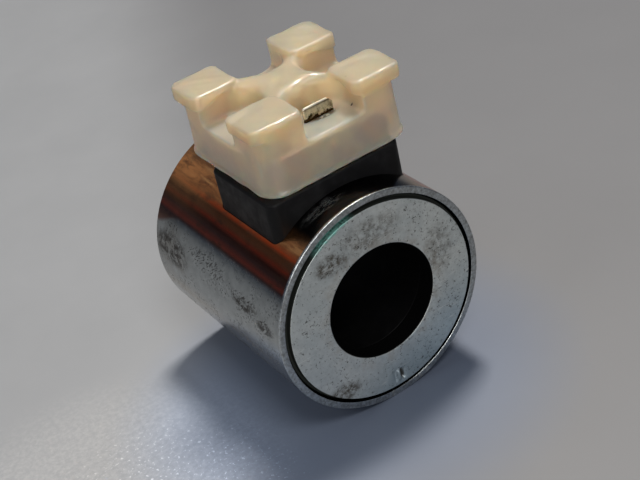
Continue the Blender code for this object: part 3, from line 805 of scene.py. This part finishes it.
def make_terminal_plate(finish):
    """The moulded face: chamfered square, shallow wells with ribs, boss for the screw and blade slots."""
    cx, cy = CONNECTOR
    face = 28.0
    levels = [(13.55, 25.75), (13.85, 26.05), (13.85, 27.6), (13.72, 27.85), (13.45, face)]
    obj = loose("terminal_face", *stack_data(square_stack(levels)))
    wells = 3
    rib = 0.6
    left, right, well_floor = cx - 6.2, cx + 6.2, face - 0.65
    width = (right - left - (wells - 1) * rib) / wells
    for row, (y0, y1) in enumerate(((cy + 1.0, cy + 11.8), (cy - 7.6, cy - 1.0))):
        for well in range(wells):
            x0 = left + well * (width + rib)
            boolean(obj, box_tool(f"well_{row}_{well}", (x0, y0, well_floor), (x0 + width, y1, face + 1)))
    boss = [(4.5, 26.9), (4.5, 29.55), (4.38, 29.82), (4.1, 30.0)]
    boolean(obj, loose("boss", *stack_data(round_stack(boss))), "UNION")
    hole = [(2.62, 26.7), (2.62, 29.7), (2.95, 30.1), (2.95, 31)]
    boolean(obj, loose("hole", *stack_data(round_stack(hole))))
    gap = 0.12
    for index, (x, y, half_x, half_y) in enumerate(BLADE_PLACES):
        low = (x - half_x - gap, y - half_y - gap, 25)
        high = (x + half_x + gap, y + half_y + gap, face + 1)
        boolean(obj, box_tool(f"slot_{index}", low, high))
    dress(obj, COIL, finish, "terminal_plate")


def make_blade(name, node, place, top, finish, first=1.0, last=1.0):
    """A spade blade with a bevelled tip and a narrow tail; first and last cut the tip's two corners."""
    x, y, half_x, half_y = place
    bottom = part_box(node)[0].z / MM - AXIS
    wide, tail, tip = BLADE_WIDE, 1.5, 0.8
    shape = [
        (-tail, bottom),
        (tail, bottom),
        (tail, 25.0),
        (wide, 25.6),
        (wide, top - last),
        (wide - last, top),
        (first - wide, top),
        (-wide, top - first),
        (-wide, 25.6),
        (-tail, 25.0),
    ]
    rounded = fillet(shape, [0.2, 0.2, 0.4, 0.4, 0.3, 0.3, 0.3, 0.3, 0.4, 0.4], 4)
    middle = (top + bottom) / 2
    rings = []
    for depth, inset in ((-0.4, 0.16), (-0.36, 0.08), (-0.26, 0.0), (0.26, 0.0), (0.36, 0.08), (0.4, 0.16)):
        ring = []
        for across, height in rounded:
            across -= math.copysign(min(inset, abs(across)), across)
            thin = depth * (1 - 0.45 * max(0.0, height - (top - tip)) / tip)
            height -= math.copysign(inset, height - middle)
            point = (x + across, y + thin) if half_x > half_y else (x + thin, y + across)
            ring.append((*point, AXIS + height))
        rings.append(ring)
    sharp = 40
    obj = piece(name, *stack_data(rings), COIL, finish, "tinned_brass", node, sharp)
    face_outward(obj.data)
    obj.data.set_sharp_from_angle(angle=math.radians(sharp))


def make_nut(finish):
    """Brass screw insert with a chamfered rim and thread rings in its hole."""
    low, high, pitch = 26.85, 29.8, 0.5
    thread = high - 0.4
    profile = [(2.5, low), (2.5, high - 0.25), (2.25, high), (1.6, high), (1.28, high - 0.35)]
    for turn in range(int((thread - low) / pitch)):
        level = thread - turn * pitch
        profile += [(1.25, level), (1.5, level - pitch / 2)]
    profile.append((1.25, low))
    points, faces = lathe_data(profile, 64, about_screw)
    piece("screw_insert", points, faces, COIL, finish, "brass", "centre_nut")


# --- The soft cap, from a distance field ----------------------------------------------------------


def surface_net(field, origin, cell):
    """Points and quads of the zero surface of a sampled field, one point to each crossed cell."""
    shape = np.array(field.shape)
    inside = field < 0
    cells = shape - 1
    total = np.zeros(cells, np.int8)
    for dx in (0, 1):
        for dy in (0, 1):
            for dz in (0, 1):
                total += inside[dx : dx + cells[0], dy : dy + cells[1], dz : dz + cells[2]]
    active = (total > 0) & (total < 8)
    index = np.full(cells, -1, np.int64)
    index[active] = np.arange(active.sum())
    base = np.argwhere(active)
    place = np.zeros((len(base), 3))
    hits = np.zeros(len(base))
    for axis in range(3):
        others = [a for a in range(3) if a != axis]
        for first in (0, 1):
            for second in (0, 1):
                low = base.copy()
                low[:, others[0]] += first
                low[:, others[1]] += second
                high = low.copy()
                high[:, axis] += 1
                a = field[tuple(low.T)]
                b = field[tuple(high.T)]
                crossed = (a < 0) != (b < 0)
                t = np.where(crossed, a / np.where(crossed, a - b, 1), 0)
                spot = low.astype(float)
                spot[:, axis] += t
                place[crossed] += spot[crossed]
                hits += crossed
    place /= hits[:, None]
    quads = []
    for axis in range(3):
        u, v = (axis + 1) % 3, (axis + 2) % 3
        low = [slice(1, n - 1) for n in shape]
        low[axis] = slice(0, shape[axis] - 1)
        high = list(low)
        high[axis] = slice(1, shape[axis])
        a, b = inside[tuple(low)], inside[tuple(high)]
        edge = np.argwhere(a != b)
        start = np.ones(3, int)
        start[axis] = 0
        leaving = a[tuple(edge.T)]
        edge = edge + start
        corners = []
        for du, dv in ((-1, -1), (0, -1), (0, 0), (-1, 0)):
            spot = edge.copy()
            spot[:, u] += du
            spot[:, v] += dv
            corners.append(index[tuple(spot.T)])
        quad = np.stack(corners, 1)
        quad[~leaving] = quad[~leaving][:, ::-1]
        quads.append(quad)
    return origin + place * cell, np.concatenate(quads)


def fill_pinches(field, depth=0.02, rounds=3):
    """Fills each grid square whose inside corners meet only across its diagonal, where a net pinches."""
    for _ in range(rounds):
        for axis in range(3):
            turned = np.moveaxis(field, axis, 0)
            inside = turned < 0
            shifts = [(slice(i, i - 1 or None), slice(j, j - 1 or None)) for i in (0, 1) for j in (0, 1)]
            corners = [turned[:, i, j] for i, j in shifts]
            a, b, c, d = [inside[:, i, j] for i, j in shifts]
            pinched = (a == d) & (b == c) & (a != b)
            for corner in corners:
                corner[pinched] = np.minimum(corner[pinched], -depth)


def smooth_net(points, quads, rounds, amount=0.5):
    """Evens the net out without much shrinking, by steps in and back out."""
    edges = np.concatenate([quads[:, [i, (i + 1) % 4]] for i in range(4)])
    edges = np.unique(np.sort(edges, axis=1), axis=0)
    count = np.zeros(len(points))
    np.add.at(count, edges.ravel(), 1)
    for step in range(rounds * 2):
        total = np.zeros_like(points)
        np.add.at(total, edges[:, 0], points[edges[:, 1]])
        np.add.at(total, edges[:, 1], points[edges[:, 0]])
        move = total / count[:, None] - points
        points = points + move * (amount if step % 2 == 0 else -amount * 1.03)
    return points


def union(a, b, blend=0.0):
    """The union of two distance fields, with a fillet about blend wide."""
    blend = np.maximum(blend, 1e-6)
    h = np.clip(0.5 + 0.5 * (b - a) / blend, 0, 1)
    return b + (a - b) * h - blend * h * (1 - h)


def minus(a, b, blend=0.0):
    return -union(-a, b, blend)


def common(a, b, blend=0.0):
    return -union(-a, -b, blend)


def rounded_square(u, v, half_u, half_v, corner):
    du = np.abs(u) - half_u + corner
    dv = np.abs(v) - half_v + corner
    return np.hypot(np.maximum(du, 0), np.maximum(dv, 0)) + np.minimum(np.maximum(du, dv), 0) - corner


def slab(w, low, high):
    return np.abs(w - (low + high) / 2) - (high - low) / 2


# The cap is soft and a little out of shape. Each pad is (low u, high u, low v, high v, top), in mm from the
# connector's middle, and each notch is (direction u, direction v, sideways shift, half width).
CAP_PADS = (
    (-15.6, -4.8, -14.8, -4.7, 39.75),
    (6.1, 16.4, -15.5, -5.6, 39.95),
    (5.9, 16.2, 4.9, 15.0, 39.9),
    (-15.8, -5.8, 5.3, 15.0, 39.9),
)
CAP_NOTCHES = (
    (0, -1, 0.95, 6.3),
    (0, 1, 0.1, 6.2),
    (-1, 0, 0.3, 5.9),
    (1, 0, -0.35, 6.1),
)
CAP_MIDDLE = (0.3, -0.1)
CAP_BOTTOM = 25.75
CAP_WALL = 1.25
LIP_LOW = 36.9  # underside of the pads where they overhang
NOTCH_FLOOR = 33.8
NOTCH_START = 5.3  # from the middle to a notch's round end


def cap_field(u, v, w):
    """Distance to the cap's surface, with u and v from the connector's middle and w from the bore axis."""
    cu, cv = u - CAP_MIDDLE[0], v - CAP_MIDDLE[1]
    lean = 15.45 - (w - 26.5) * 0.3 / 12.1
    top = np.minimum(39.0 + 0.075 * np.hypot(u - v, 0.6), 39.6)
    body = common(rounded_square(cu, cv, lean, lean, 4.4), np.maximum(CAP_BOTTOM - w, w - top), 0.6)
    foot = common(rounded_square(cu, cv, 15.8, 15.65, 4.6), slab(w, CAP_BOTTOM, 26.6), 0.5)
    shape = union(body, foot, 0.3)
    for du, dv, shift, half in CAP_NOTCHES:
        along = u * du + v * dv
        across = u * abs(dv) + v * abs(du) - shift
        ring = np.hypot(along - NOTCH_START - half, across) - half
        way = np.maximum(np.abs(across) - half, NOTCH_START + half - along)
        notch = common(np.minimum(ring, way), NOTCH_FLOOR - w, 1.2)
        shape = minus(shape, notch, 0.45 + 2.15 * np.clip((11.5 - along) / 4.5, 0, 1))
    for u0, u1, v0, v1, height in CAP_PADS:
        pu, pv = u - (u0 + u1) / 2, v - (v0 + v1) / 2
        outer = np.maximum(np.abs(u), np.abs(v))
        low = LIP_LOW + 1.5 * np.clip((14.5 - outer) / 5, 0, 1)
        flat = rounded_square(pu, pv, (u1 - u0) / 2, (v1 - v0) / 2, 1.8)
        pad = common(flat, np.maximum(low - w, w - height), 0.6)
        shape = union(shape, pad, 0.45)
        pocket = common(rounded_square(pu, pv, 3.1, 3.1, 1.5), slab(w, 30, 38.2), 0.8)
        shape = minus(shape, pocket, 0.3)
    inner = lean - CAP_WALL
    cavity = common(rounded_square(cu, cv, inner, inner, 3.3), slab(w, 20, NOTCH_FLOOR - 1.2), 0.8)
    shape = minus(shape, cavity, 0.3)
    hollow = common(np.hypot(u, v) - 3.6, slab(w, 20, 37.2), 1.2)
    shape = minus(shape, hollow, 0.8)
    # The slit that the blade cut for itself.
    slit = np.maximum(rounded_square(u - 1.2, v + 9.0, 3.25, 0.5, 0.4), slab(w, 30, 38))
    shape = minus(shape, slit, 0.3)
    # Soft moulding is never quite true.
    wave = np.sin(0.62 * u + 0.35 * v + 1.3) * np.sin(0.55 * v - 0.4 * w + 0.4)
    wave = wave * np.sin(0.5 * w + 0.3 * u + 2.0)
    ragged = np.sin(1.9 * u + 0.7) * np.sin(1.7 * v + 0.9 * w + 2.1)
    dented = np.clip(1.3 - np.hypot(u + 10.4, v - 9.4) / 4.2, 0, 1)
    dents = np.sin(1.9 * u + 0.7 * v) * np.sin(1.6 * v + 0.5) * dented
    return shape + 0.10 * wave + 0.012 * ragged + 0.035 * dents


def make_cap(finish):
    cell = 0.26
    # The grid starts a little off round numbers, so that no flat face falls on a layer of its points.
    low = np.array([-16.93, -16.93, 24.93])
    high = np.array([17.5, 16.9, 40.8])
    counts = np.ceil((high - low) / cell).astype(int) + 1
    axes = [low[i] + cell * np.arange(counts[i]) for i in range(3)]
    u, v, w = np.meshgrid(*axes, indexing="ij")
    field = cap_field(u, v, w)
    fill_pinches(field)
    points, quads = surface_net(field, low, cell)
    points = smooth_net(points, quads, 2) + np.array([*CONNECTOR, AXIS])
    mesh = (points.tolist(), quads.tolist())
    piece("soft_cap", *mesh, CAP, finish, "cap_plastic", "protective_cap", sharp=0)


# --- Putting it together -----------------------------------------------------------------------


def make_floor():
    size = 3.0  # metres
    mesh = bpy.data.meshes.new("floor")
    corners = [(-size, -size, 0), (size, -size, 0), (size, size, 0), (-size, size, 0)]
    mesh.from_pydata(corners, [], [(0, 1, 2, 3)])
    floor = bpy.data.objects.new("floor", mesh)
    bpy.context.scene.collection.objects.link(floor)
    f = Finish("table_top", Roughness=0.55)
    x, y, _ = f.axes()
    tone = f.noise(30, 3, 0.6)
    base = f.ramp(tone, (0.3, (0.198, 0.208, 0.222)), (0.7, (0.213, 0.223, 0.238)))
    # Painted shade: the floor is darker to the right of a slanting line through the coil.
    shade = f.span(f.less(x, f.times(y, 0.4)), -45, 10)
    base = f.mix(shade, base, f.mix(tone, (0.114, 0.118, 0.127), (0.126, 0.130, 0.139)))
    # Painted glare and painted sparkle on the floor to the left of the coil.
    glare = f.times(f.patch(x, y, (-58, -6), (42, 40)), f.span(f.noise(1.2, 5, 0.8), 0.35, 0.7, 0.1, 0.6))
    base = f.mix(glare, base, (0.34, 0.345, 0.35))
    painted_sparkle = f.times(f.patch(x, y, (-48, -20), (26, 34)), f.span(f.noise(0.75, 3, 0.6), 0.60, 0.68))
    base = f.mix(f.times(painted_sparkle, 0.5), base, (0.75, 0.76, 0.78))
    # Painted shadow: a blue tint on the floor round the coil.
    painted_shadow_tint = f.patch(x, y, (-6, -14), (52, 48))
    base = f.mix(painted_shadow_tint, base, f.mix(1.0, base, (0.78, 0.93, 1.22), "MULTIPLY"))
    mesh.materials.append(f.done(Base_Color=base))


make_camera()
make_lights()
make_floor()

dull = plate_finish()
black = black_finish()
make_shell(shell_finish())
make_plate("front_pole_ring", "front_end_plate", -1, dull)
make_plate("rear_pole_ring", "rear_end_plate", 1, dull)
# The bore's lining is painted darker than the block, for the shade deep in the bore.
make_bobbin(black_finish("bore_moulding", 0.4, 0.08))
make_pedestal(black)
make_cap(cap_finish())

tinned = metal_finish("dirty_tin", (0.74, 0.66, 0.50), (0.22, 0.14, 0.07))
brass = metal_finish("brass", (0.72, 0.52, 0.20), (0.20, 0.12, 0.05), 0.25, 0.5)
make_terminal_plate(black)
make_blade("spade_left", "blade_left", BLADE_PLACES[0], 32.5, tinned)
make_blade("spade_right", "blade_right", BLADE_PLACES[1], 32.5, tinned)
make_blade("spade_earth", "earth_blade", BLADE_PLACES[2], 36.35, earth_finish(), 0.35, 0.9)
make_nut(brass)

# The closed-in nodes keep their CAD meshes.
lead = metal_finish("lead_copper", (0.72, 0.30, 0.14), (0.25, 0.09, 0.04))
sleeve = plain_finish("sleeve", (0.45, 0.06, 0.04), (0.30, 0.04, 0.03), 0.6, 0.5)
solder = metal_finish("solder", (0.62, 0.62, 0.63), (0.35, 0.34, 0.33), 0.25)
inner_finishes = {
    "copper_winding": wire_finish(),
    "winding_tape": plain_finish("tape", (0.55, 0.42, 0.10), (0.45, 0.33, 0.07), 0.35, 3),
    "potting_ring": plain_finish("resin", (0.05, 0.04, 0.03), (0.03, 0.025, 0.02), 0.3, 4),
    "lead_start": lead,
    "lead_finish": lead,
    "sleeve_start": sleeve,
    "sleeve_finish": sleeve,
    "joint_start": solder,
    "joint_finish": solder,
    "earth_strap": brass,
}
for node_name, node_finish in inner_finishes.items():
    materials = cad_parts[node_name].data.materials
    materials.clear()
    materials.append(node_finish)

bpy.context.view_layer.update()
